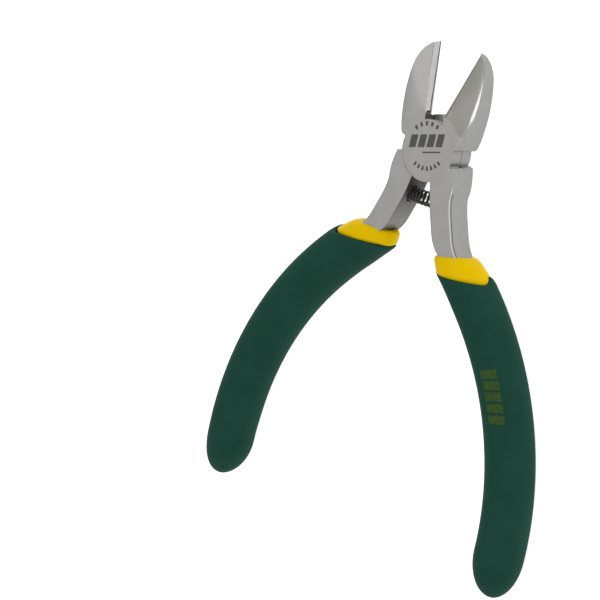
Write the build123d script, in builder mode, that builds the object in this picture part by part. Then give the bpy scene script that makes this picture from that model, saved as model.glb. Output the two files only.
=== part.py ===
from build123d import *
from math import atan2, cos, degrees, radians, sin, tan
import os

# Small flush cut pliers: two lapped levers on a ground-flush rivet, a return spring held in a blind seat in
# each arm, and a dipped grip in two layers on each handle.
# Millimetres and degrees. The origin is on the pivot axis, on the underside of the joint. +Z is the pivot
# axis, +Y runs to the jaw tips. The model stands at rest: open by the spring, 2 * HALF_OPEN from closed.

# Driving dimensions
THICKNESS = 6.9  # joint, jaw roots and arms
LAP = THICKNESS / 2  # height of the face on which the two levers slide
LAP_GAP = 0.02  # between the two lap faces
HALF_OPEN = 13.16  # each lever's angle from closed

# Joint
DISC_R = 6.55  # half-thickness disc of each lever
POCKET_R = 6.62  # pocket in the other lever that the disc turns in
WEB_R = 7.7  # back lever's web across the throat
WEB_POCKET_R = 7.82
WEB_ANGLES = (58, 120)  # from +X
WEB_POCKET_ANGLES = (88, 150)
JAW_SHOULDER = 14.2  # angle of the jaw's stop face above the X axis
ARM_SHOULDER = 12.6  # angle of the arm's stop face below it
SHOULDER_SCOOP_R = 0.5  # round relief at the foot of the arm's stop face
SHOULDER_SCOOP_AT = 6.95  # its distance from the pivot

# Rivet
SHANK_R = 2.0
HEAD_R = 2.9
HEAD_HEIGHT = 1.0
RIVET_CLEARANCE = 0.03  # radial, in the front lever, which turns on it

# Jaws, for the jaw at +X
HEEL_Y = 8.1  # where the cutting edge starts
BEVEL_RUN_OUT = 0.35  # how far the ground bevels run past the heel
TIP_Y = 22.5
HEEL_EDGE_Z = LAP + 2.61  # the edge falls from near the front face at the heel
EDGE_FALL = 0.2065  # per millimetre of Y
EDGE_GAP = 0.02  # left between each edge and the plane where the two meet
FRONT_BEVEL = 47  # from the XY plane
FRONT_BEVEL_HEIGHT = 0.72  # at the heel
FACE_RISE = 0.5  # how much more the front face stands above the edge at the tip than at the heel
FRONT_FACE_SLOPE = 0.13  # the jaw's front face rises this much per millimetre away from the edge
FACE_RUN_OUT = 2.0  # how far below the heel that face is carried, until it has left the metal
BACK_BEVEL = 32  # from the plane where the edges meet
JAW_FOOT = (2.5, 5.9)
JAW_NOSE = (7.85, 20.55)
JAW_CHEEK = (9.1, 17.9)
JAW_SIDE = (9.42, 11.5)
JAW_CORNER = (7.8, 2.45)
JAW_CORNER_R = 7.68  # outer end of the jaw's stop face
NOTCH = (2.45, 6.0, HEEL_Y)  # outer X, lowest Y and highest Y of the notch at the front lever's heel
RELIEF_R = 8.4  # the jaw's faces fall away outside this circle round the pivot
RELIEF_FRONT = ((14.0, LAP + 3.05), (23.6, LAP + 1.9))  # radius and height along the fall
RELIEF_BACK = ((15.6, LAP - 2.45), (23.6, LAP - 1.15))

# What is ground off a jaw, seen along its edge: x away from the other jaw, y down, the edge at the origin
REACH = 12
BEVEL_TOP = (FRONT_BEVEL_HEIGHT / tan(radians(FRONT_BEVEL)), -FRONT_BEVEL_HEIGHT)
BEVEL_SECTION = (
    (EDGE_GAP, 0),
    (REACH * cos(radians(FRONT_BEVEL)), -REACH * sin(radians(FRONT_BEVEL))),
    (-REACH, -REACH),
    (-REACH, REACH),
    (REACH * sin(radians(BACK_BEVEL)), REACH * cos(radians(BACK_BEVEL))),
)
FACE_SECTION = (
    (BEVEL_TOP[0] - REACH, BEVEL_TOP[1] + REACH * FRONT_FACE_SLOPE),
    (BEVEL_TOP[0] + REACH, BEVEL_TOP[1] - REACH * FRONT_FACE_SLOPE),
    (REACH, -REACH),
    (-REACH, -REACH),
)

# Handles, for the handle at +X: the tang and the grip bend round one centre
BEND_CENTRE = (-31.8, -76.4)
GRIP_BEND_R = 69.85
ARM_RADII = (68.9, 72.1)
ARM_END_ANGLE = 50.5  # where the full thickness ends, inside the collar
TANG_RADII = (69.1, 71.9)
TANG_START_ANGLE = 52
TANG_THICKNESS = 5.0
TANG_END_Y = -79.5
ARM_SIDE = ((8.3, -4.3), (8.45, -6.2), (8.38, -8.2), (8.8, -10.6), (10.3, -14.9))
ARM_INNER = ((4.85, -14.6), (3.3, -10.0), (2.4, -6.0))
ARM_INNER_END_ANGLE = 54.6
ARM_CORNER_R = 7.95  # outer end of the arm's stop face

# Spring
SPRING_Y = -10.45
SEAT_R = 1.85
SEAT_BOTTOM_X = 5.3
SPRING_R = 1.4  # to the centre of the wire
WIRE_R = 0.25
SPRING_TURNS = 10
SPRING_END_GAP = 0.06

# Grips, both given for a handle at +X. "top" is the middle of the grip's top edge and "top_angle" its angle to
# X. "foot" is how far inboard of "top" the collar's foot is centred, then its half width and half height;
# "collar" is the half width and half height of the collar's top. "inner_x" is where the top's inner corner is
# squared off. "lean" is how far the grip's end leans outboard.
RIGHT_HANDLE = {
    "top": (14.5, -23.4),
    "top_angle": 8.3,
    "foot": (0.8, 6.75, 4.5),
    "collar": (4.95, 4.3),
    "collar_at": (10.7, -20.05),
    "collar_angle": 11.5,
    "inner_x": 7.6,
    "half_width": 5.45,
    "end_y": -86.1,
    "lean": 0.15,
}
LEFT_HANDLE = {
    "top": (13.0, -22.45),
    "top_angle": -1.0,
    "foot": (-0.1, 7.7, 4.5),
    "collar": (5.3, 4.3),
    "collar_at": (10.6, -19.4),
    "collar_angle": 2.0,
    "inner_x": 5.4,
    "half_width": 5.75,
    "end_y": -86.7,
    "lean": 0.8,
}
GRIP_HALF_HEIGHT = 4.7
GRIP_DOME = 9.2  # length of the rounded end
DOME_STEPS = (0.0, 0.3, 0.55, 0.75, 0.9, 0.985)
GRIP_START_ANGLE = 62  # past the top edge, before it is cut
LAYER = 1.0  # thickness of the outer layer round the handle
SLEEVE_END_Y = -81.3
SLEEVE_END_FILLET = 0.8
COLLAR_RIM_FILLET = 1.0


def polar(radius, angle, centre=(0, 0)):
    return (centre[0] + radius * cos(radians(angle)), centre[1] + radius * sin(radians(angle)))


def edge_point(side, y):
    """Point of the cutting edge of the jaw on that side, at height y up the jaw."""
    return (side * y * tan(radians(HALF_OPEN)), y, HEEL_EDGE_Z - (y - HEEL_Y) * EDGE_FALL)


def mirrored(points, side):
    return [(side * x, y) for x, y in points]


def sector(radius, angles):
    """Pie slice round the pivot."""
    with BuildSketch() as slice_sketch:
        with BuildLine():
            rim = CenterArc((0, 0), radius, angles[0], angles[1] - angles[0])
            Polyline(rim @ 1, (0, 0), rim @ 0)
        make_face()
    return slice_sketch.sketch


def jaw_outline(side):
    """Jaw seen along the pivot axis."""
    heel = edge_point(1, HEEL_Y)[:2]
    tip = edge_point(1, TIP_Y)[:2]
    foot, heel, tip, nose, cheek, cheek_side, corner = mirrored(
        (JAW_FOOT, heel, tip, JAW_NOSE, JAW_CHEEK, JAW_SIDE, JAW_CORNER), side
    )
    stop_face = mirrored((polar(JAW_CORNER_R, JAW_SHOULDER), polar(DISC_R - 0.2, JAW_SHOULDER)), side)
    with BuildSketch() as outline:
        with BuildLine():
            Polyline(foot, heel, tip)
            ThreePointArc(tip, nose, cheek)
            ThreePointArc(cheek, cheek_side, corner)
            Polyline(corner, *stop_face, foot)
        make_face()
    return outline.sketch


def arm_outline(side):
    """Arm from its stop face to the end of its full thickness."""
    centre = mirrored((BEND_CENTRE,), side)[0]
    inner_r, outer_r = ARM_RADII
    stop_face = mirrored((polar(DISC_R - 0.2, -ARM_SHOULDER), polar(ARM_CORNER_R, -ARM_SHOULDER)), side)
    outer_end = mirrored((polar(outer_r, ARM_END_ANGLE, BEND_CENTRE),), side)[0]
    inner_end = mirrored((polar(inner_r, ARM_END_ANGLE, BEND_CENTRE),), side)[0]
    inner_start = mirrored((polar(inner_r, ARM_INNER_END_ANGLE, BEND_CENTRE),), side)[0]
    outer_tangent = (side * sin(radians(ARM_END_ANGLE)), -cos(radians(ARM_END_ANGLE)))
    inner_tangent = (-side * sin(radians(ARM_INNER_END_ANGLE)), cos(radians(ARM_INNER_END_ANGLE)))
    inner_angles = [
        degrees(atan2(point[1] - centre[1], point[0] - centre[0])) for point in (inner_end, inner_start)
    ]
    with BuildSketch() as outline:
        with BuildLine():
            Line(*stop_face)
            Spline(
                stop_face[1],
                *mirrored(ARM_SIDE, side),
                outer_end,
                tangents=((side * 0.2, -1), outer_tangent),
            )
            Line(outer_end, inner_end)
            CenterArc(centre, inner_r, inner_angles[0], inner_angles[1] - inner_angles[0])
            Spline(inner_start, *mirrored(ARM_INNER, side), tangents=(inner_tangent, (-side * 0.2, 1)))
            Line(mirrored(ARM_INNER, side)[-1], stop_face[0])
        make_face()
    return outline.sketch


def tang_outline(side):
    """Tang inside the grip, from inside the arm to its rounded end."""
    inner_r, outer_r = TANG_RADII
    inner_x, outer_x = BEND_CENTRE[0] + inner_r, BEND_CENTRE[0] + outer_r
    half_width = (outer_r - inner_r) / 2
    angles = (TANG_START_ANGLE, TANG_START_ANGLE / 2, 0)
    outer = mirrored((polar(outer_r, angle, BEND_CENTRE) for angle in angles), side)
    inner = mirrored((polar(inner_r, angle, BEND_CENTRE) for angle in reversed(angles)), side)
    end = mirrored(
        (
            (outer_x, TANG_END_Y),
            (outer_x - half_width, TANG_END_Y - half_width),
            (inner_x, TANG_END_Y),
        ),
        side,
    )
    with BuildSketch() as outline:
        with BuildLine():
            ThreePointArc(*outer)
            Line(outer[-1], end[0])
            ThreePointArc(*end)
            Line(end[-1], inner[0])
            ThreePointArc(*inner)
            Line(inner[-1], outer[0])
        make_face()
    return outline.sketch


def rivet_profile(clearance):
    """Half section of the rivet, or of its hole, on Plane.XZ."""
    shank, head = SHANK_R + clearance, HEAD_R + clearance
    with BuildSketch(Plane.XZ) as profile:
        with BuildLine():
            Polyline(
                (0, 0),
                (head, 0),
                (shank, HEAD_HEIGHT),
                (shank, THICKNESS - HEAD_HEIGHT),
                (head, THICKNESS),
                (0, THICKNESS),
                close=True,
            )
        make_face()
    return profile.sketch


def relief_profile(face_z, fall, outside_z):
    """Half section of what is ground off a jaw face, on Plane.XZ."""
    middle, end = fall
    past_end = end[0] + 2
    with BuildSketch(Plane.XZ) as profile:
        with BuildLine():
            ThreePointArc((RELIEF_R, face_z), middle, end)
            Polyline(end, (past_end, end[1]), (past_end, outside_z), (RELIEF_R, outside_z), (RELIEF_R, face_z))
        make_face()
    return profile.sketch


def make_lever(jaw_side, rivet_clearance):
    """One lever. The front lever has its jaw at -X, its disc in the upper half and its handle at +X."""
    arm_side = -jaw_side
    front = jaw_side < 0
    pocket_plane = Plane.XY if front else Plane.XY.offset(THICKNESS)
    pocket_depth = (LAP + LAP_GAP / 2) * (1 if front else -1)
    face_start = Vector(*edge_point(jaw_side, HEEL_Y - FACE_RUN_OUT))
    bevel_start = Vector(*edge_point(jaw_side, HEEL_Y - BEVEL_RUN_OUT))
    past_tip = Vector(*edge_point(jaw_side, TIP_Y + 2))
    with BuildPart() as lever:
        with BuildSketch():
            add(jaw_outline(jaw_side))
            if front:
                with Locations((jaw_side * NOTCH[0] / 2, (NOTCH[1] + NOTCH[2]) / 2)):
                    Rectangle(NOTCH[0], NOTCH[2] - NOTCH[1], mode=Mode.SUBTRACT)
            add(arm_outline(arm_side))
            Circle(DISC_R)
        extrude(amount=THICKNESS)
        with BuildSketch(Plane.XY.offset(LAP - TANG_THICKNESS / 2)):
            add(tang_outline(arm_side))
        extrude(amount=TANG_THICKNESS)
        with BuildSketch(pocket_plane):
            Circle(POCKET_R)
            if front:
                add(sector(WEB_POCKET_R, WEB_POCKET_ANGLES))
        extrude(amount=pocket_depth, mode=Mode.SUBTRACT)
        if not front:
            extrude(sector(WEB_R, WEB_ANGLES), amount=LAP - LAP_GAP / 2)
        scoop_plane = Plane.XY.offset(THICKNESS) if front else Plane.XY
        with BuildSketch(scoop_plane):
            with Locations(mirrored((polar(SHOULDER_SCOOP_AT, -ARM_SHOULDER),), arm_side)[0]):
                Circle(SHOULDER_SCOOP_R)
            Circle(DISC_R, mode=Mode.SUBTRACT)
        extrude(amount=-LAP if front else LAP, mode=Mode.SUBTRACT)
        for profile in (
            relief_profile(THICKNESS, RELIEF_FRONT, THICKNESS + 1),
            relief_profile(0, RELIEF_BACK, -1),
        ):
            revolve(profile, axis=Axis.Z, revolution_arc=180, mode=Mode.SUBTRACT)
        for start, end, section in (
            (face_start, past_tip + Vector(0, 0, FACE_RISE), FACE_SECTION),
            (bevel_start, past_tip, BEVEL_SECTION),
        ):
            with BuildSketch(Plane(origin=start, x_dir=(1, 0, 0), z_dir=end - start)):
                with BuildLine():
                    Polyline(*mirrored(section, jaw_side), close=True)
                make_face()
            extrude(amount=(end - start).length, mode=Mode.SUBTRACT)
        revolve(rivet_profile(rivet_clearance), axis=Axis.Z, mode=Mode.SUBTRACT)
        with BuildSketch(Plane.YZ.offset(arm_side * SEAT_BOTTOM_X)):
            with Locations((SPRING_Y, LAP)):
                Circle(SEAT_R)
        extrude(amount=-arm_side * SEAT_BOTTOM_X, mode=Mode.SUBTRACT)
    return lever


front_lever = make_lever(-1, RIVET_CLEARANCE)
back_lever = make_lever(1, 0)

with BuildPart() as pivot_rivet:
    revolve(rivet_profile(0), axis=Axis.Z)

with BuildPart() as return_spring:
    spring_length = 2 * (SEAT_BOTTOM_X - SPRING_END_GAP - WIRE_R)
    with BuildLine():
        coil = Helix(
            pitch=spring_length / SPRING_TURNS,
            height=spring_length,
            radius=SPRING_R,
            center=(-spring_length / 2, SPRING_Y, LAP),
            direction=(1, 0, 0),
        )
    with BuildSketch(Plane(origin=coil @ 0, z_dir=coil % 0)):
        Circle(WIRE_R)
    sweep(path=coil, is_frenet=True)


def across(origin, direction):
    """Plane across the handle, its x axis in the plane of the pliers."""
    return Plane(origin=(*origin, LAP), x_dir=(direction[1], -direction[0], 0), z_dir=(*direction, 0))


def handle_body(half_width, half_height, end_y):
    """Elliptical rod along the handle's bend down to end_y."""
    start = polar(GRIP_BEND_R, GRIP_START_ANGLE, BEND_CENTRE)
    middle = polar(GRIP_BEND_R, GRIP_START_ANGLE / 2, BEND_CENTRE)
    bend_end = polar(GRIP_BEND_R, 0, BEND_CENTRE)
    with BuildPart() as body:
        with BuildLine() as path:
            ThreePointArc((*start, LAP), (*middle, LAP), (*bend_end, LAP))
            Line((*bend_end, LAP), (bend_end[0], end_y, LAP))
        with BuildSketch(across(start, polar(1, GRIP_START_ANGLE - 90))):
            Ellipse(half_width, half_height)
        sweep(path=path.line)
    return body.part


def top_plane(handle):
    """Plane of the grip's top edge, facing up the handle."""
    return across(handle["top"], polar(1, handle["top_angle"] + 90))


def make_sleeve(handle):
    """Inner layer, with the collar that stands out of the outer one."""
    foot_back, *foot_size = handle["foot"]
    foot_at = polar(-foot_back, handle["top_angle"], handle["top"])
    with BuildPart() as sleeve:
        add(handle_body(handle["half_width"] - LAYER, GRIP_HALF_HEIGHT - LAYER, SLEEVE_END_Y))
        fillet(sleeve.edges().group_by(Axis.Y)[0], SLEEVE_END_FILLET)
        split(bisect_by=Plane.YZ.offset(handle["inner_x"] + LAYER), keep=Keep.TOP)
        split(bisect_by=top_plane(handle), keep=Keep.BOTTOM)
        with BuildSketch(across(foot_at, polar(1, handle["top_angle"] + 90))):
            Ellipse(*foot_size)
        with BuildSketch(across(handle["collar_at"], polar(1, handle["collar_angle"] + 90))):
            Ellipse(*handle["collar"])
        collar = loft()
        fillet(collar.faces().sort_by(Axis.Y)[-1].edges(), COLLAR_RIM_FILLET)
        add(front_lever.part, mode=Mode.SUBTRACT)
    return sleeve


def make_grip(handle, sleeve):
    """Outer layer."""
    half_width, end_y = handle["half_width"], handle["end_y"]
    handle_x = BEND_CENTRE[0] + GRIP_BEND_R
    with BuildPart() as grip:
        add(handle_body(half_width, GRIP_HALF_HEIGHT, end_y + GRIP_DOME))
        for step in DOME_STEPS:
            narrowing = (1 - step**2) ** 0.5
            centre = (handle_x + handle["lean"] * step**2, end_y + GRIP_DOME * (1 - step))
            with BuildSketch(across(centre, (0, -1))):
                Ellipse(half_width * narrowing, GRIP_HALF_HEIGHT * narrowing)
        loft()
        split(bisect_by=Plane.YZ.offset(handle["inner_x"]), keep=Keep.TOP)
        split(bisect_by=top_plane(handle), keep=Keep.BOTTOM)
        add(sleeve.part, mode=Mode.SUBTRACT)
        add(front_lever.part, mode=Mode.SUBTRACT)
    return grip


sleeve_right = make_sleeve(RIGHT_HANDLE)
grip_right = make_grip(RIGHT_HANDLE, sleeve_right)
sleeve_left_at_right = make_sleeve(LEFT_HANDLE)
grip_left_at_right = make_grip(LEFT_HANDLE, sleeve_left_at_right)

with BuildPart() as sleeve_left:
    mirror(sleeve_left_at_right.part, about=Plane.YZ)

with BuildPart() as grip_left:
    mirror(grip_left_at_right.part, about=Plane.YZ)

pieces = {
    "front_lever": front_lever,
    "back_lever": back_lever,
    "pivot_rivet": pivot_rivet,
    "return_spring": return_spring,
    "inner_sleeve_right": sleeve_right,
    "inner_sleeve_left": sleeve_left,
    "grip_right": grip_right,
    "grip_left": grip_left,
}
os.makedirs("parts", exist_ok=True)
for name, piece in pieces.items():
    piece.part.label = name
    export_step(piece.part, f"parts/{name}.step")
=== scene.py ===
import bmesh
import bpy
import numpy as np
from math import cos, degrees, exp, pi, radians, sin, tan
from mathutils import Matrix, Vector


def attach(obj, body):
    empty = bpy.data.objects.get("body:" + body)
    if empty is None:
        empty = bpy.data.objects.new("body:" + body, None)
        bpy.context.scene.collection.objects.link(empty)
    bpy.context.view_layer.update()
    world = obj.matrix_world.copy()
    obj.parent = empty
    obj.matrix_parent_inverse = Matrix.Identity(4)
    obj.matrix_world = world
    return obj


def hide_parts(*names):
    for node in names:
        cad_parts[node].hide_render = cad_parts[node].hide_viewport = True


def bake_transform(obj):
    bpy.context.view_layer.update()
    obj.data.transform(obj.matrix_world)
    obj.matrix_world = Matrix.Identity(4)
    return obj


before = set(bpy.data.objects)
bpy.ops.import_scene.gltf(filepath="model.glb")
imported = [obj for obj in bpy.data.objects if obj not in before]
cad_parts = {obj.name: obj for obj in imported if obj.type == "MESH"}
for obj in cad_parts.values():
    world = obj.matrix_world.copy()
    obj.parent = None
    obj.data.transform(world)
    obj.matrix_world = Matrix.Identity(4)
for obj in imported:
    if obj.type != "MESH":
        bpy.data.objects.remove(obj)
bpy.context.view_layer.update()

# All lengths below are in millimetres, in the part's frame; MM turns them into metres.
MM = 0.001
THICKNESS = 6.9
MID = THICKNESS / 2
HALF_OPEN = 13.16  # degrees that each lever stands from closed
OPEN_COS = cos(radians(HALF_OPEN))
OPEN_SIN = sin(radians(HALF_OPEN))
OPEN_TAN = tan(radians(HALF_OPEN))


# ---------------------------------------------------------------- materials
def new_material(name, metallic, roughness):
    material = bpy.data.materials.new(name)
    material.use_nodes = True
    shader = material.node_tree.nodes["Principled BSDF"]
    shader.inputs["Metallic"].default_value = metallic
    shader.inputs["Roughness"].default_value = roughness
    return material, shader


def noise(material, scale, detail, stretch=(1, 1, 1)):
    """Noise in object coordinates; scale is in features per metre."""
    nodes, links = material.node_tree.nodes, material.node_tree.links
    coordinates = nodes.new("ShaderNodeTexCoord")
    mapping = nodes.new("ShaderNodeMapping")
    mapping.inputs["Scale"].default_value = stretch
    texture = nodes.new("ShaderNodeTexNoise")
    texture.inputs["Scale"].default_value = scale
    texture.inputs["Detail"].default_value = detail
    links.new(coordinates.outputs["Object"], mapping.inputs["Vector"])
    links.new(mapping.outputs["Vector"], texture.inputs["Vector"])
    return texture.outputs["Fac"]


def tint(material, shader, factor, dark, light, span):
    """Runs the shader's colour from dark to light where the factor goes through the span."""
    nodes, links = material.node_tree.nodes, material.node_tree.links
    node = nodes.new("ShaderNodeValToRGB")
    node.color_ramp.elements[0].position = span[0]
    node.color_ramp.elements[0].color = (*dark, 1)
    node.color_ramp.elements[1].position = span[1]
    node.color_ramp.elements[1].color = (*light, 1)
    links.new(factor, node.inputs["Fac"])
    links.new(node.outputs["Color"], shader.inputs["Base Color"])


def map_range(tree, value, from_min, from_max, to_min=0.0, to_max=1.0):
    node = tree.nodes.new("ShaderNodeMapRange")
    node.inputs["From Min"].default_value = from_min
    node.inputs["From Max"].default_value = from_max
    node.inputs["To Min"].default_value = to_min
    node.inputs["To Max"].default_value = to_max
    tree.links.new(value, node.inputs["Value"])
    return node.outputs["Result"]


def calculate(tree, operation, *values):
    """Result of a math node; each value is a number or another node's output."""
    node = tree.nodes.new("ShaderNodeMath")
    node.operation = operation
    for place, value in zip(node.inputs, values):
        if isinstance(value, bpy.types.NodeSocket):
            tree.links.new(value, place)
        else:
            place.default_value = value
    return node.outputs["Value"]


def split_place(tree, output):
    """A place's coordinates, and the node that gives its X, Y and Z."""
    coordinates = tree.nodes.new("ShaderNodeTexCoord")
    split = tree.nodes.new("ShaderNodeSeparateXYZ")
    tree.links.new(coordinates.outputs[output], split.inputs["Vector"])
    return coordinates.outputs[output], split


def vary_roughness(material, shader, factor, low, high):
    result = map_range(material.node_tree, factor, 0.0, 1.0, low, high)
    material.node_tree.links.new(result, shader.inputs["Roughness"])


def add_bump(material, shader, factor, strength, height):
    nodes, links = material.node_tree.nodes, material.node_tree.links
    node = nodes.new("ShaderNodeBump")
    node.inputs["Strength"].default_value = strength
    node.inputs["Distance"].default_value = height * MM
    links.new(factor, node.inputs["Height"])
    links.new(node.outputs["Normal"], shader.inputs["Normal"])


def mottled(name, metallic, roughness, dark, light, texture, span=(0.3, 0.7)):
    """Material whose colour runs from dark to light with a noise; its shader and the noise come with it."""
    material, shader = new_material(name, metallic, roughness)
    factor = noise(material, *texture)
    tint(material, shader, factor, dark, light, span)
    return material, shader, factor


def blasted(name, dark, light):
    """Steel with soft patches and a fine grain."""
    material, shader, mottle = mottled(name, 1.0, 0.5, dark, light, (260, 3))
    vary_roughness(material, shader, mottle, 0.46, 0.56)
    add_bump(material, shader, noise(material, 7000, 2), 0.22, 0.02)
    return material


def grained(name, roughness, scale, strength, dark, light):
    """Dull steel with one fine grain."""
    material, shader, grain = mottled(name, 1.0, roughness, dark, light, (scale, 2))
    add_bump(material, shader, grain, strength, 0.01)
    return material


steel = blasted("blasted_steel", (0.370, 0.366, 0.347), (0.409, 0.404, 0.383))
# Darker copy of the steel: painted shade on the right jaw's face.
face_steel = blasted("painted_shade_jaw_face", (0.300, 0.288, 0.268), (0.334, 0.322, 0.300))
# Darker copy of the steel: painted shade on the faces turned to the right.
side_steel = blasted("painted_shade_side", (0.302, 0.302, 0.290), (0.334, 0.334, 0.320))
# Painted shade: dark lines along edges, in slits and on the notch's floor.
painted_shade_line = grained("painted_shade_line", 0.5, 3000, 0.1, (0.10, 0.10, 0.095), (0.16, 0.16, 0.15))
# Painted shade in the notch and on the arm's shoulder; also the dark seam round the disc.
shade_and_seam_steel = grained("painted_shade_and_seam_steel", 0.5, 3000, 0.1, (0.23, 0.23, 0.22), (0.28, 0.28, 0.27))
etched = grained("etched_steel", 0.6, 5000, 0.2, (0.085, 0.085, 0.08), (0.14, 0.14, 0.13))

ground, shader, streaks = mottled(
    "ground_steel", 1.0, 0.3, (0.60, 0.60, 0.59), (0.71, 0.71, 0.70), (2500, 2, (0.15, 0.15, 3))
)
vary_roughness(ground, shader, streaks, 0.26, 0.36)
add_bump(ground, shader, streaks, 0.12, 0.01)

# Painted highlight on the ridges of the jaws and the arms.
ridge_steel, shader, grain = mottled(
    "painted_highlight_ridge_steel", 1.0, 0.3, (0.84, 0.84, 0.82), (0.93, 0.93, 0.91), (3000, 2)
)
vary_roughness(ridge_steel, shader, grain, 0.25, 0.35)

# Painted shade on the arms' inner faces: darkest beside the joint, paler towards the grips.
inner_steel, shader = new_material("painted_shade_inner_steel", 1.0, 0.55)
_place, split = split_place(inner_steel.node_tree, "Object")
down_arm = map_range(inner_steel.node_tree, split.outputs["Y"], -5 * MM, -17 * MM)
tint(inner_steel, shader, down_arm, (0.055, 0.055, 0.052), (0.24, 0.235, 0.225), (0.0, 1.0))
grain = noise(inner_steel, 6000, 2)
vary_roughness(inner_steel, shader, grain, 0.5, 0.62)
add_bump(inner_steel, shader, grain, 0.2, 0.02)

black_wire, shader, grain = mottled(
    "black_wire", 0.0, 0.32, (0.008, 0.008, 0.008), (0.016, 0.016, 0.016), (3000, 2)
)
vary_roughness(black_wire, shader, grain, 0.26, 0.4)

green, shader, mottle = mottled(
    "green_dip", 0.0, 0.55, (0.0096, 0.0495, 0.0340), (0.0122, 0.0595, 0.0410), (120, 3)
)
shader.inputs["Specular IOR Level"].default_value = 0.04
vary_roughness(green, shader, mottle, 0.55, 0.65)
add_bump(green, shader, noise(green, 2600, 3), 0.12, 0.02)

yellow, shader, mottle = mottled(
    "yellow_dip", 0.0, 0.3, (0.735, 0.480, 0.0001), (0.79, 0.525, 0.0003), (200, 3)
)
shader.inputs["Specular IOR Level"].default_value = 0.03
vary_roughness(yellow, shader, mottle, 0.28, 0.38)
add_bump(yellow, shader, mottle, 0.1, 0.1)

print_ink, shader, _mottle = mottled(
    "grip_print", 0.0, 0.6, (0.026, 0.068, 0.022), (0.052, 0.086, 0.019), (1500, 3), (0.35, 0.65)
)
shader.inputs["Specular IOR Level"].default_value = 0.04


# ---------------------------------------------------------------- meshes
def new_mesh(name, verts, faces, material, smooth=True):
    mesh = bpy.data.meshes.new(name)
    mesh.from_pydata([(x * MM, y * MM, z * MM) for x, y, z in verts], [], faces)
    mesh.validate()
    shape = bmesh.new()
    shape.from_mesh(mesh)
    bmesh.ops.recalc_face_normals(shape, faces=shape.faces)
    shape.to_mesh(mesh)
    shape.free()
    mesh.polygons.foreach_set("use_smooth", [smooth] * len(mesh.polygons))
    mesh.materials.append(material)
    piece = bpy.data.objects.new(name, mesh)
    bpy.context.scene.collection.objects.link(piece)
    return piece


def skin(rings, cap_start=True, cap_end=True):
    """Vertices and faces of a tube through the rings, all with the same number of points."""
    count = len(rings[0])
    verts = [point for ring in rings for point in ring]
    faces = []
    for i in range(len(rings) - 1):
        for j in range(count):
            k = (j + 1) % count
            faces.append((i * count + j, i * count + k, (i + 1) * count + k, (i + 1) * count + j))
    for wanted, first in ((cap_start, 0), (cap_end, (len(rings) - 1) * count)):
        if wanted:
            centre = [sum(verts[first + j][axis] for j in range(count)) / count for axis in range(3)]
            verts.append(tuple(centre))
            faces += [(first + j, first + (j + 1) % count, len(verts) - 1) for j in range(count)]
    return verts, faces


def squircle(angle, power):
    """Point on a unit outline between a circle (power 2) and a square."""
    c, s = cos(angle), sin(angle)
    return abs(c) ** (2 / power) * (1 if c >= 0 else -1), abs(s) ** (2 / power) * (1 if s >= 0 else -1)


def mirrored(rings, side):
    return [[(side * x, y, z) for x, y, z in ring] for ring in rings]


# ---------------------------------------------------------------- grips
BEND_CENTRE = (-31.8, -76.4)  # of the arc that the handles' centrelines follow, as seen at +X
BEND_R = 69.85
BEND_LENGTH = 80.0  # longer than either grip
AROUND = 96  # points in each ring of a grip or a collar
GRIP_POWER = 2.2
COLLAR_POWER = 2.1
GRIP_HALF_HEIGHT = 4.68
GRIP_DOME = 9.2  # length of a grip's rounded end
DOME_STEPS = 25
GRIP_STEPS = 120
LIP_R = 0.5  # rounding of the outer layer's rim
RIM_DIP = 0.85  # how much lower the outer layer's rim lies on the front and back than at the sides
DIP_TILT = 0.4  # by what share the dip is deeper outboard and shallower inboard
CREST_WIDTH = 0.3  # of the rim's high places, as a share of the section's half height

# Both handles as seen at +X. Of two numbers for the two sides, the first is inboard.
# "top", "top_angle": middle and slope of the outer layer's rim.
# "reach": distances up the centreline, each with the outer layer's reach to both sides of it.
# "end_y", "lean": where the grip ends, and how far its end is drawn outboard.
# "lift", "crest": how far the rim rises at each side, and how high up the section that is.
# "inner_round": how much more the rim is rounded inboard.
# "foot", "collar": middle, half width and half height, and slope of the collar at its foot and its top.
RIGHT_HANDLE = {
    "top": (14.5, -23.1),
    "top_angle": 8.8,
    "reach": (
        (0, 5.42, 5.4),
        (25, 5.44, 5.42),
        (45, 5.42, 5.44),
        (55, 5.35, 5.44),
        (64, 4.7, 5.4),
        (75, 3.9, 5.4),
    ),
    "end_y": -86.3,
    "lean": 0.15,
    "lift": (0.3, 0.5),
    "crest": (0.2, -0.2),
    "inner_round": 0.3,
    "foot": ((13.8, -23.4), (6.45, 4.42), 8.8),
    "collar": ((10.7, -20.05), (4.92, 4.25), 11.5),
}
LEFT_HANDLE = {
    "top": (13.0, -22.3),
    "top_angle": -1.0,
    "reach": (
        (-0.9, 5.25, 5.7),
        (6.1, 5.6, 5.7),
        (40, 5.8, 5.7),
        (51, 5.85, 5.6),
        (60, 5.65, 5.6),
        (67, 4.7, 5.5),
        (75, 2.0, 5.3),
    ),
    "end_y": -86.5,
    "lean": 1.15,
    "lift": (0.0, 0.4),
    "crest": (-0.2, -0.1),
    "inner_round": 2.4,
    "foot": ((12.88, -22.45), (7.43, 4.42), -1.0),
    "collar": ((10.6, -19.4), (5.26, 4.25), 2.0),
}
HANDLES = ((1, "front_half", "right", RIGHT_HANDLE), (-1, "back_half", "left", LEFT_HANDLE))

# Rings of the rim's rounding: how far in from the surface, and how far down from the rim.
LIP_STEPS = (
    (0, LIP_R), (0.03, 0.3), (0.12, 0.13), (0.28, 0.03), (0.5, 0), (0.75, 0.05), (0.95, 0.25), (1.3, 0.9)
)
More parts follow.
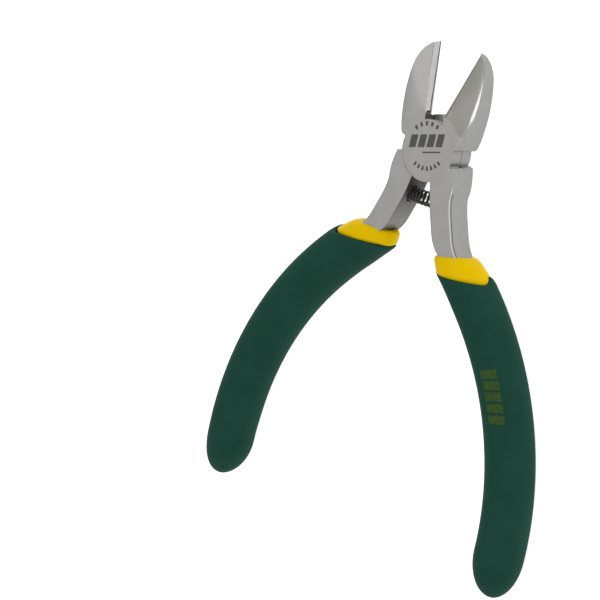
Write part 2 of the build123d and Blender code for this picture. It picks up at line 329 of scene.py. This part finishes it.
# Rings of a collar: share of the way from its foot to its top, and how far in from its full size.
COLLAR_STEPS = (
    (-0.45, 1.2), (-0.3, 0.6), (-0.15, 0.25), (0.0, 0.1), (0.12, 0.02), (0.25, 0.0), (0.45, 0.0),
    (0.6, 0.0), (0.74, 0.04), (0.84, 0.14), (0.92, 0.32), (0.975, 0.58), (1.0, 0.9), (1.0, 1.2),
    (0.98, 1.5), (0.95, 1.75), (0.92, 2.0), (0.9, 2.6),
)
GRIP_SHAPE = [squircle(2 * pi * j / AROUND, GRIP_POWER) for j in range(AROUND)]
COLLAR_SHAPE = [squircle(2 * pi * j / AROUND, COLLAR_POWER) for j in range(AROUND)]


def handle_point(s, across, up):
    """Point at distance s up the handle's centreline from the end of its bend, across and up from it."""
    if s < 0:
        return (BEND_CENTRE[0] + BEND_R + across, BEND_CENTRE[1] + s, MID + up)
    angle = s / BEND_R
    radius = BEND_R + across
    return (BEND_CENTRE[0] + radius * cos(angle), BEND_CENTRE[1] + radius * sin(angle), MID + up)


def reach_at(handle, s, u):
    """How far the outer layer reaches to the side of u, at distance s up the centreline."""
    table = handle["reach"]
    column = 2 if u > 0 else 1
    places = (s - 2, s, s + 2)
    return float(np.mean(np.interp(places, [row[0] for row in table], [row[column] for row in table])))


def surface_point(handle, s, u, v, inward=0.0):
    across = (reach_at(handle, s, u) - inward) * u
    return handle_point(s, across, (GRIP_HALF_HEIGHT - inward) * v)


def s_at_rim(handle, u, v, inward=0.0):
    """Distance up the centreline at which the surface meets the rim."""
    normal = (-sin(radians(handle["top_angle"])), cos(radians(handle["top_angle"])))
    end = 1 if u > 0 else 0
    at_side = exp(-(((v - handle["crest"][end]) / CREST_WIDTH) ** 2))
    rise = handle["lift"][end] * at_side - RIM_DIP * (1 - at_side) * (1 + DIP_TILT * u)
    low, high = 0.0, BEND_LENGTH
    for _ in range(32):
        middle = (low + high) / 2
        x, y, _z = surface_point(handle, middle, u, v, inward)
        over = (x - handle["top"][0]) * normal[0] + (y - handle["top"][1]) * normal[1]
        if over < rise:
            low = middle
        else:
            high = middle
    return low


def dome_ring(handle, dome_start, turn):
    """Ring of the grip's rounded end; turn is 0 at its very end."""
    along, size = cos(turn), sin(turn)
    ring = []
    for u, v in GRIP_SHAPE:
        x, y, z = surface_point(handle, dome_start - GRIP_DOME * along, u * size, v * size)
        ring.append((x + handle["lean"] * along**2, y, z))
    return ring


def grip_rings(handle):
    dome_start = handle["end_y"] + GRIP_DOME - BEND_CENTRE[1]
    rings = [dome_ring(handle, dome_start, radians(90 * i / DOME_STEPS)) for i in range(1, DOME_STEPS)]
    growth = [1 + handle["inner_round"] * max(0, -u) ** 4 for u, _v in GRIP_SHAPE]
    rims = [s_at_rim(handle, u, v) for u, v in GRIP_SHAPE]
    for i in range(GRIP_STEPS):
        ring = []
        for (u, v), rim, size in zip(GRIP_SHAPE, rims, growth):
            s = dome_start + (rim - LIP_R * size - dome_start) * (i / GRIP_STEPS)
            ring.append(surface_point(handle, s, u, v))
        rings.append(ring)
    for inward, down in LIP_STEPS:
        ring = []
        for (u, v), size in zip(GRIP_SHAPE, growth):
            s = s_at_rim(handle, u, v, inward * size) - down * size
            ring.append(surface_point(handle, s, u, v, inward * size))
        rings.append(ring)
    return rings


def collar_ring(handle, share, inset):
    """Ring of the collar, share of the way from its foot to its top."""
    (foot, foot_half, foot_angle), (top, top_half, top_angle) = handle["foot"], handle["collar"]
    eased = min(max(share, 0), 1)
    centre = [foot[axis] + (top[axis] - foot[axis]) * share for axis in range(2)]
    half = [foot_half[axis] + (top_half[axis] - foot_half[axis]) * eased for axis in range(2)]
    angle = radians(foot_angle + (top_angle - foot_angle) * eased)
    ring = []
    for u, v in COLLAR_SHAPE:
        along = (half[0] - inset) * u
        up = (half[1] - inset) * v
        ring.append((centre[0] + along * cos(angle), centre[1] + along * sin(angle), MID + up))
    return ring


for side, half, word, handle in HANDLES:
    grip = new_mesh(f"grip_cover_{word}", *skin(mirrored(grip_rings(handle), side), True, False), green)
    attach(grip, half)
    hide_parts(f"grip_{word}")
    collar_rings = [collar_ring(handle, share, inset) for share, inset in COLLAR_STEPS]
    collar = new_mesh(f"collar_{word}", *skin(mirrored(collar_rings, side)), yellow)
    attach(collar, half)
    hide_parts(f"inner_sleeve_{word}")


# ---------------------------------------------------------------- levers
VOXEL = 0.12
ARM_END_Y = -22.5  # the levers end here, out of sight in the collars
SMOOTH_ROUNDS = 60
LEVEL_ROUNDS = 260
HEEL_Y = 8.1  # the cutting edges run from here to TIP_Y
TIP_Y = 22.5
HEEL_EDGE_Z = MID + 2.61
EDGE_FALL = 0.2065  # per millimetre of Y
RELIEF_R = 8.4  # outside this circle round the pivot the jaws' faces fall away
SEAM_R = 6.585  # of the seam between the disc and the pocket round it
RIVET_R = 3.0
STRIP_HEIGHT = 0.77  # of the ground strip at the heel
STRIP_GROWTH = 0.027  # per millimetre along the edge
STRIP_ANGLE = 47  # from the XY plane
DARK_LINE = 0.24  # width of the painted dark line of shade along the cutting edge
RIDGE_WIDTH = 0.36  # of the painted highlight band to each side of the right jaw's ridge
RIDGE_SOFT = 0.14
RIDGE_FROM_Y = 5
RIDGE_TO_Y = 18.5
RIDGE_WIDE_Y = (9, 13)  # where the ridge's painted highlight is at its widest
BAND_WIDE_Y = (9.5, 12.5)  # the same for the painted highlight band

# Shutting of the seams round the disc and the rivet.
SEAM_PULL = 0.05
RIVET_PULL = 0.11
PULL_REACH = 0.3
PULL_DEPTH = 0.6
FLUSH_REACH = 0.4
FLUSH_DEPTH = 0.16
RIVET_DROP = 0.004  # how much lower the disc is beside the rivet

# Where a lever's faces have which steel. A slope is the Z of a face's normal: 1 is flat, 0 is upright.
EDGE_FROM_Y = 7.7
GROUND_REACH = 1.4  # from the cutting edge
DARK_REACH = 1.6
STRIP_LINE = 0.15  # half width of the painted dark line of shade behind the ground strip
SLIT_FROM_R = 6.2
SLIT_HALF_Y = 2.2
INNER_FROM_Y = -3.5
ARM_FROM_Y = -4.5
ARM_RIDGE_FROM_Y = -5.8
ARM_RIDGE_SLOPE = (0.35, 0.85)
ARM_LINE_FROM_Y = -7  # the painted dark line of shade under the arm's ridge
ARM_LINE_Z = (6.1, 6.45)
NOTCH_Y = (5.5, 8.6)
NOTCH_HALF_X = 3.6
NOTCH_FLOOR_Z = 1.4
SEAM_SPAN = (6.4, 6.62)  # from the pivot
SCOOP_Y = (-6.5, -2)
SCOOP_FROM_X = 3.5
SIDE_FROM_X = 3
FLAT = 0.8
STEEP = 0.5

# Shares of the smoothing rounds: for all of a lever, its jaw's outside and the back of its arm.
SOFT_ALL = 0.10
SOFT_JAW = 0.45
SOFT_ARM = 0.6
# By what share the smoothing is less at the disc and beside the cutting edge.
CRISP_DISC = 0.7
CRISP_EDGE = 0.85

# The levers' material slots; the last is on the back lever only, whose jaw is on the right.
STEEL, GROUND, DARK, INNER, RIDGE, SHADED, FACE, SIDE, BAND = range(9)
LEVER_STEELS = (steel, ground, painted_shade_line, inner_steel, ridge_steel, shade_and_seam_steel, face_steel, side_steel)


def step(value, low, high):
    t = np.clip((value - low) / (high - low), 0, 1)
    return t * t * (3 - 2 * t)


def between(value, low, high):
    return (value > low) & (value < high)


def vectors_of(items, attribute):
    """The attribute of all the items, a row of three for each."""
    values = np.zeros(len(items) * 3)
    items.foreach_get(attribute, values)
    return values.reshape(-1, 3)


def from_middle(x, y, jaw_side):
    """Distance from the plane in which the jaws meet, with the lever turned to its closed place."""
    return jaw_side * x * OPEN_COS - y * OPEN_SIN


def edge_frame(side):
    """Heel of the cutting edge, and its direction towards the tip."""
    heel = np.array((side * HEEL_Y * OPEN_TAN, HEEL_Y, HEEL_EDGE_Z))
    tip = np.array((side * TIP_Y * OPEN_TAN, TIP_Y, HEEL_EDGE_Z - (TIP_Y - HEEL_Y) * EDGE_FALL))
    return heel, (tip - heel) / np.linalg.norm(tip - heel)


def remeshed(source, name):
    """Piece in the shape of the source above the collars, in an even mesh."""
    shape = bmesh.new()
    shape.from_mesh(source.data)
    bmesh.ops.remove_doubles(shape, verts=shape.verts, dist=1e-7)
    cut = bmesh.ops.bisect_plane(
        shape,
        geom=shape.verts[:] + shape.edges[:] + shape.faces[:],
        plane_co=Vector((0, ARM_END_Y, 0)) * MM,
        plane_no=Vector((0, -1, 0)),
        clear_outer=True,
    )
    rim = [item for item in cut["geom_cut"] if isinstance(item, bmesh.types.BMEdge)]
    bmesh.ops.contextual_create(shape, geom=rim)
    mesh = bpy.data.meshes.new(name)
    shape.to_mesh(mesh)
    shape.free()
    piece = bpy.data.objects.new(name, mesh)
    bpy.context.scene.collection.objects.link(piece)
    remesh = piece.modifiers.new("remesh", "REMESH")
    remesh.mode = "VOXEL"
    remesh.voxel_size = VOXEL * MM
    remesh.adaptivity = 0
    depsgraph = bpy.context.evaluated_depsgraph_get()
    fine = bpy.data.meshes.new_from_object(piece.evaluated_get(depsgraph))
    piece.modifiers.clear()
    piece.data = fine
    fine.name = name
    return piece


def neighbour_sum(pairs, values):
    """For each vertex, the sum of the values at its neighbours."""
    total = np.bincount(pairs[:, 0], values[pairs[:, 1]], len(values))
    return total + np.bincount(pairs[:, 1], values[pairs[:, 0]], len(values))


def softness(co, jaw_side):
    """For each vertex, the share of the smoothing rounds after which it stops."""
    x, y, z = co.T
    out = from_middle(x, y, jaw_side)
    on_jaw_side = x * jaw_side > 0
    near_edge = step(y, 5.0, 8.0) * on_jaw_side * (1 - step(out, 1.4, 2.6))
    jaw_outside = step(out, 2.5, 4.0) * step(y, 3.0, 9.0) * on_jaw_side
    arm_back = step(-y, 7.0, 8.5) * (1 - step(z, 2.4, 4.2))
    soft = SOFT_ALL * (1 - CRISP_DISC * (1 - step(np.hypot(x, y), 7.0, 8.0)))
    soft = np.maximum(soft, jaw_outside * SOFT_JAW)
    soft = np.maximum(soft, arm_back * SOFT_ARM)
    return soft * (1 - CRISP_EDGE * near_edge)


def smooth_lever(co, edges, soft):
    """Laplacian smoothing of the vertices, in place."""
    degree = np.bincount(edges.ravel(), minlength=len(co)).astype(float)
    for i in range(SMOOTH_ROUNDS):
        mean = np.column_stack([neighbour_sum(edges, co[:, axis]) for axis in range(3)]) / degree[:, None]
        active = np.clip(soft * SMOOTH_ROUNDS - i, 0, 1)
        co += (mean - co) * (0.5 * active)[:, None]


def level_face(co, edges, normals, jaw_side):
    """Heights with the jaw's front face drawn into one smooth surface from its outline to the strip."""
    x, y, z = co.T
    free = (normals[:, 2] > 0.9) & (from_middle(x, y, jaw_side) > 1.2) & (y > 4) & (x * jaw_side > 0)
    free &= np.hypot(x, y) > RELIEF_R + 0.1
    both_ends = free[edges].all(axis=1)
    one_end = free[edges].any(axis=1) & ~both_ends
    pairs = np.vstack([edges[both_ends], edges[one_end]])
    degree = np.maximum(np.bincount(pairs.ravel(), minlength=len(co)), 1)
    for _ in range(LEVEL_ROUNDS):
        z = np.where(free, 0.4 * z + 0.6 * neighbour_sum(pairs, z) / degree, z)
    return z


def shut_seams(co):
    """The disc, its pocket and the rivet are ground flush, so the seams between them are nearly shut."""
    x, y, z = co.T
    radius = np.hypot(x, y)
    from_seam = radius - SEAM_R
    from_rivet = np.abs(radius - RIVET_R)
    pull = np.where(np.abs(from_seam) < PULL_REACH, SEAM_PULL * np.sign(from_seam), 0)
    pull = np.where(from_rivet < PULL_REACH, RIVET_PULL, pull) * (z > THICKNESS - PULL_DEPTH)
    flush = (np.abs(from_seam) < FLUSH_REACH) | (from_rivet < FLUSH_REACH)
    flush &= z > THICKNESS - FLUSH_DEPTH
    level = np.where(from_rivet < FLUSH_REACH, THICKNESS - RIVET_DROP, THICKNESS)
    co[:, 2] = np.where(flush, level, z)
    co[:, 0] -= x / np.maximum(radius, 1e-6) * pull
    co[:, 1] -= y / np.maximum(radius, 1e-6) * pull


def shape_lever(mesh, jaw_side):
    co = vectors_of(mesh.vertices, "co") / MM
    edges = np.zeros(len(mesh.edges) * 2, int)
    mesh.edges.foreach_get("vertices", edges)
    edges = edges.reshape(-1, 2)
    smooth_lever(co, edges, softness(co, jaw_side))
    co[:, 2] = level_face(co, edges, vectors_of(mesh.vertices, "normal"), jaw_side)
    shut_seams(co)
    mesh.vertices.foreach_set("co", (co * MM).ravel())
    mesh.update()
    mesh.polygons.foreach_set("use_smooth", [True] * len(mesh.polygons))


def polynomial(tree, place, coefficients):
    """Value of a polynomial at the place, with its coefficients from the highest power down."""
    value = coefficients[0]
    for constant in coefficients[1:]:
        value = calculate(tree, "MULTIPLY_ADD", value, place, constant)
    return value


def bright_line_steel(line_x, line_z):
    """Steel with a soft painted highlight band along the line x(y), z(y), widest halfway up the jaw."""
    material, shader = new_material("jaw_ridge_painted_highlight", 1.0, 0.4)
    tree = material.node_tree
    place, split = split_place(tree, "Object")
    y = split.outputs["Y"]
    on_line = tree.nodes.new("ShaderNodeCombineXYZ")
    tree.links.new(polynomial(tree, y, line_x), on_line.inputs["X"])
    tree.links.new(y, on_line.inputs["Y"])
    tree.links.new(polynomial(tree, y, line_z), on_line.inputs["Z"])
    distance = tree.nodes.new("ShaderNodeVectorMath")
    distance.operation = "DISTANCE"
    tree.links.new(place, distance.inputs[0])
    tree.links.new(on_line.outputs["Vector"], distance.inputs[1])
    widening = map_range(tree, y, RIDGE_FROM_Y * MM, BAND_WIDE_Y[0] * MM, 0.0, RIDGE_WIDTH * MM)
    narrowing = map_range(tree, y, RIDGE_TO_Y * MM, BAND_WIDE_Y[1] * MM)
    width = calculate(tree, "MULTIPLY", widening, narrowing)
    inside = calculate(tree, "SUBTRACT", width, distance.outputs["Value"])
    share = calculate(tree, "MULTIPLY", inside, 1 / (RIDGE_SOFT * MM))
    share.node.use_clamp = True
    tint(material, shader, share, (0.322, 0.315, 0.298), (0.90, 0.90, 0.88), (0.0, 1.0))
    add_bump(material, shader, noise(material, 7000, 2), 0.15, 0.02)
    return material


def colour_lever(mesh, jaw_side):
    """Gives every face of the lever its steel; a later rule goes over an earlier one."""
    mesh.materials.clear()
    for material in LEVER_STEELS:
        mesh.materials.append(material)
    normals = vectors_of(mesh.polygons, "normal")
    centres = vectors_of(mesh.polygons, "center") / MM
    x, y, z = centres.T
    from_pivot = np.hypot(x, y)
    up = normals[:, 2]
    outward = normals[:, 0] * jaw_side  # on the jaw's side of the joint; inward on the arm's

    # The ground strip along the cutting edge, and painted dark lines of shade beside it and behind it.
    heel, along = edge_frame(jaw_side)
    from_edge = centres - heel
    down_edge = from_edge @ along
    off = np.linalg.norm(from_edge - down_edge[:, None] * along, axis=1)
    facing = normals @ np.array((-jaw_side * OPEN_COS, OPEN_SIN, 0))
    on_edge = (down_edge > -0.5) & (y > EDGE_FROM_Y)
    is_ground = on_edge & (off < GROUND_REACH) & (facing > 0.42)
    is_dark = on_edge & (off < DARK_REACH) & (facing > 0.3) & (up < 0.1)
    is_dark |= is_ground & (off < DARK_LINE)
    if jaw_side > 0:
        strip_width = (STRIP_HEIGHT + STRIP_GROWTH * down_edge) / tan(radians(STRIP_ANGLE))
        from_line = np.abs(from_middle(x, y, jaw_side) - strip_width)
        is_dark |= on_edge & (from_line < STRIP_LINE) & (up > 0.3)
    # Painted shade in the slit between the levers beside the joint.
    is_dark |= (np.abs(z - MID) < 0.1) & (from_pivot > SLIT_FROM_R) & (np.abs(y) < SLIT_HALF_Y)
    slots = np.where(is_dark, DARK, np.where(is_ground, GROUND, STEEL))

    # Painted shade on the arm's inner face, and painted highlights on the ridges of the jaw and the arm.
    slots[(y < INNER_FROM_Y) & (outward > 0.55) & ~is_dark] = INNER
    wide = step(y, RIDGE_FROM_Y, RIDGE_WIDE_Y[0]) * (1 - step(y, RIDGE_WIDE_Y[1], RIDGE_TO_Y))
    on_ridge = between(up, 0.44 - 0.16 * wide, 0.78 + 0.12 * wide) & (outward > 0.35)
    on_ridge &= between(y, RIDGE_FROM_Y, RIDGE_TO_Y)
    slots[on_ridge & (slots == STEEL)] = RIDGE
    on_arm = (y < ARM_FROM_Y) & (outward < 0)
    slots[on_arm & between(up, *ARM_RIDGE_SLOPE) & (y < ARM_RIDGE_FROM_Y)] = RIDGE
    # Painted dark line of shade on the arm's side, under its ridge.
    in_line = between(z, *ARM_LINE_Z) & (y < ARM_LINE_FROM_Y)
    slots[on_arm & in_line & (up < ARM_RIDGE_SLOPE[0])] = DARK

    # Painted shade in the notch at the jaws' heels, darkest on its floor, and on the arm's shoulder; the
    # dark seam round the disc; painted shade on the right jaw's face and on the right side.
    in_notch = between(y, *NOTCH_Y) & (np.abs(x) < NOTCH_HALF_X) & (up < STEEP)
    slots[in_notch & (z < NOTCH_FLOOR_Z)] = DARK
    slots[in_notch & (z >= NOTCH_FLOOR_Z) & (slots == STEEL)] = SHADED
    if jaw_side < 0:
        on_seam = between(from_pivot, *SEAM_SPAN) & (z > THICKNESS - 0.3)
        slots[on_seam & (x < -1.5) & (y < -1)] = SHADED
    else:
        on_face = (up > FLAT) & (from_pivot > RELIEF_R) & (y > RIDGE_FROM_Y)
        slots[on_face & (slots == STEEL)] = FACE
    in_scoop = (normals[:, 1] > 0.5) & between(y, *SCOOP_Y) & (x > SCOOP_FROM_X)
    slots[in_scoop & (slots == STEEL)] = SHADED
    slots[(up < STEEP) & (x > SIDE_FROM_X) & (slots == STEEL)] = SIDE

    # The right jaw's ridge gets a soft painted highlight band along a curve through the middle of its
    # faces.
    if jaw_side > 0:
        ridge_x, ridge_y, ridge_z = centres[on_ridge].T * MM
        line_x = np.polyfit(ridge_y, ridge_x, 3)
        line_z = np.polyfit(ridge_y, ridge_z, 3)
        mesh.materials.append(bright_line_steel(line_x, line_z))
        off_line = np.hypot(x * MM - np.polyval(line_x, y * MM), z * MM - np.polyval(line_z, y * MM))
        beside = (off_line < (RIDGE_WIDTH + 0.15) * MM) & between(y, RIDGE_FROM_Y, RIDGE_TO_Y)
        slots[beside & (slots != GROUND) & (slots != DARK)] = BAND
    mesh.polygons.foreach_set("material_index", slots)
    mesh.update()


def lever_piece(node, name, body, jaw_side):
    piece = remeshed(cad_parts[node], name)
    shape_lever(piece.data, jaw_side)
    colour_lever(piece.data, jaw_side)
    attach(piece, body)
    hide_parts(node)


lever_piece("front_lever", "front_lever_forging", "front_half", -1)
lever_piece("back_lever", "back_lever_forging", "back_half", 1)

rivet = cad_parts["pivot_rivet"]
rivet.data.materials.clear()
rivet.data.materials.append(steel)


# ---------------------------------------------------------------- spring
SPRING_Y = -10.45
SPRING_HALF = 4.99
SPRING_R = 1.4
SPRING_SKEW = 0.2  # how much closer the turns lie at the left end
WIRE_R = 0.26
WIRE_SIDES = 12
TURNS = 10
RINGS_PER_TURN = 40


def spring_line(t):
    """Point of the wire's centreline, for t from 0 to 1."""
    share = 2 * t - 1
    x = SPRING_HALF * (share - SPRING_SKEW * (1 - share**2))
    angle = 2 * pi * TURNS * t
    return np.array((x, SPRING_Y + SPRING_R * cos(angle), MID + SPRING_R * sin(angle)))


def spring_rings():
    rings = []
    steps = TURNS * RINGS_PER_TURN
    for i in range(steps + 1):
        t = i / steps
        here = spring_line(t)
        ahead = spring_line(t + 1e-4) - spring_line(t - 1e-4)
        ahead /= np.linalg.norm(ahead)
        outward = here - np.array((here[0], SPRING_Y, MID))
        outward /= np.linalg.norm(outward)
        side = np.cross(ahead, outward)
        angles = [2 * pi * j / WIRE_SIDES for j in range(WIRE_SIDES)]
        rings.append([tuple(here + WIRE_R * (cos(a) * outward + sin(a) * side)) for a in angles])
    return rings


spring = new_mesh("coil_spring", *skin(spring_rings()), black_wire)
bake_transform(spring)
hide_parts("return_spring")


# ---------------------------------------------------------------- marks
MARK_CENTRE = (-0.33, 0.93)
MARK_TURN = HALF_OPEN + 2
MARK_RISE = 0.006  # above the disc
MARK_DEPTH = 0.02
DASH_R = 4.75
DASH_HEIGHT = 0.95
BLOCK_LEAN = 0.3  # per unit of height


def plates(name, outlines, top, depth, material):
    """Flat plates with these outlines, seen along Z."""
    verts, faces = [], []
    for outline in outlines:
        first, count = len(verts), len(outline)
        verts += [(x, y, top) for x, y in outline]
        verts += [(x, y, top - depth) for x, y in outline]
        faces.append(tuple(range(first, first + count)))
        faces.append(tuple(range(first + 2 * count - 1, first + count - 1, -1)))
        for j in range(count):
            k = (j + 1) % count
            faces.append((first + j, first + count + j, first + count + k, first + k))
    return new_mesh(name, verts, faces, material, smooth=False)


def mark_point(x, y):
    """Point in the mark's own axes, placed on the disc."""
    c, s = cos(radians(MARK_TURN)), sin(radians(MARK_TURN))
    return (MARK_CENTRE[0] + x * c - y * s, MARK_CENTRE[1] + x * s + y * c)


def arc_dash(angle, width):
    """Dash on a circle round the mark's centre, angle in degrees in the mark's own axes."""
    half = degrees(width / 2 / DASH_R)
    inner, outer = DASH_R - DASH_HEIGHT / 2, DASH_R + DASH_HEIGHT / 2
    angles = [angle - half, angle, angle + half]
    rim = [(outer * cos(radians(a)), outer * sin(radians(a))) for a in angles]
    rim += [(inner * cos(radians(a)), inner * sin(radians(a))) for a in reversed(angles)]
    return [mark_point(x, y) for x, y in rim]


def slanted_block(x, y, width, height):
    lean = height * BLOCK_LEAN
    corners = ((x, y), (x + width, y), (x + width + lean, y + height), (x + lean, y + height))
    return [mark_point(*corner) for corner in corners]


# Plain dashes and blocks stand for the lettering etched on the disc.
outlines = [arc_dash(90 + (i - 2) * 17, 0.62) for i in range(5)]
outlines += [arc_dash(270 + (i - 3) * 13.3, 0.5) for i in range(7)]
outlines += [slanted_block(-4.75 + i * 2.3, -0.25, 1.75, 2.7) for i in range(4)]
outlines.append(slanted_block(-1.2, -1.5, 4.6, 0.32))
joint_mark = plates("joint_mark", outlines, THICKNESS + MARK_RISE, MARK_DEPTH, etched)
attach(joint_mark, "front_half")

PRINT_START = 22.7  # degrees up the bend
PRINT_STEP = 1.95
PRINT_BAR = 1.5
PRINT_BARS = 5
PRINT_SLANT = -0.65  # degrees at PRINT_REACH from the centreline
PRINT_REACH = 5.4
PRINT_INBOARD = -1.7
PRINT_OUTBOARD = 2.25
PRINT_ROWS = 6
PRINT_COLUMNS = 10
INK_HEIGHTS = (0.012, -0.02)  # of the ink's front and back, above the grip


def print_patch(angle_from):
    """Vertices and faces of a thin bar of ink on the front of the right grip."""
    verts, faces = [], []
    for height in INK_HEIGHTS:
        for i in range(PRINT_ROWS + 1):
            for j in range(PRINT_COLUMNS + 1):
                across = PRINT_INBOARD + (PRINT_OUTBOARD - PRINT_INBOARD) * j / PRINT_COLUMNS
                angle = angle_from + PRINT_BAR * i / PRINT_ROWS + PRINT_SLANT * (across / PRINT_REACH)
                s = radians(angle) * BEND_R
                u = across / reach_at(RIGHT_HANDLE, s, across)
                up = GRIP_HALF_HEIGHT * (1 - abs(u) ** GRIP_POWER) ** (1 / GRIP_POWER)
                verts.append(handle_point(s, across, up + height))
    row = PRINT_COLUMNS + 1
    for layer in range(len(INK_HEIGHTS)):
        for i in range(PRINT_ROWS):
            for j in range(PRINT_COLUMNS):
                a = (layer * (PRINT_ROWS + 1) + i) * row + j
                faces.append((a, a + 1, a + row + 1, a + row))
    return verts, faces


# Plain bars stand for the words printed on the grip.
print_verts, print_faces = [], []
for i in range(PRINT_BARS):
    verts, faces = print_patch(PRINT_START + PRINT_STEP * i)
    print_faces += [tuple(index + len(print_verts) for index in face) for face in faces]
    print_verts += verts
grip_print = new_mesh("grip_print_bars", print_verts, print_faces, print_ink)
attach(grip_print, "front_half")


# ---------------------------------------------------------------- studio
FLOOR_HALF = 1500
FLOOR_Z = MID - GRIP_HALF_HEIGHT
AIM = (0, -30, 0)  # what the softboxes point at

paper, shader, _mottle = mottled("studio_floor", 0.0, 0.9, (0.50, 0.50, 0.50), (0.52, 0.52, 0.52), (40, 2))
shader.inputs["Specular IOR Level"].default_value = 0.0
shader.inputs["Emission Color"].default_value = (1, 1, 1, 1)
shader.inputs["Emission Strength"].default_value = 0.85
floor_verts = [(x * FLOOR_HALF, y * FLOOR_HALF, FLOOR_Z) for x, y in ((-1, -1), (1, -1), (1, 1), (-1, 1))]
floor = new_mesh("studio_floor", floor_verts, [(0, 1, 2, 3)], paper, smooth=False)


def area_light(name, place, size, power):
    light = bpy.data.lights.new(name, "AREA")
    light.shape = "RECTANGLE"
    light.size = size * MM
    light.size_y = size * MM
    light.energy = power
    lamp = bpy.data.objects.new(name, light)
    lamp.location = Vector(place) * MM
    lamp.rotation_euler = (Vector(AIM) - Vector(place)).to_track_quat("-Z", "Y").to_euler()
    bpy.context.scene.collection.objects.link(lamp)


area_light("softbox_right", (420, 20, 250), 240, 0.15)
area_light("softbox_left", (-270, 150, 540), 300, 0.45)

# The left of the studio is dimmer, so that the jaws' two faces are told apart, and so is its far right.
world = bpy.data.worlds.new("studio")
world.use_nodes = True
sky = world.node_tree
background = sky.nodes["Background"]
background.inputs["Color"].default_value = (1, 1, 1, 1)
_place, split = split_place(sky, "Generated")
left_light = map_range(sky, split.outputs["X"], -0.95, -0.3, 0.5, 0.88)
right_light = map_range(sky, split.outputs["X"], 0.35, 0.9, 1.0, 0.8)
sky.links.new(calculate(sky, "MULTIPLY", left_light, right_light), background.inputs["Strength"])
bpy.context.scene.world = world
bpy.context.scene.view_settings.view_transform = "Standard"

camera_data = bpy.data.cameras.new("camera")
camera_data.sensor_width = 36
camera_data.lens = 149.67
camera_data.clip_start = 0.05
camera = bpy.data.objects.new("camera", camera_data)
camera.location = Vector((298.31, 82.25, 431.11)) * MM
camera.rotation_euler = (radians(-3.4917), radians(39.0216), radians(15.3016))
bpy.context.scene.collection.objects.link(camera)
bpy.context.scene.camera = camera
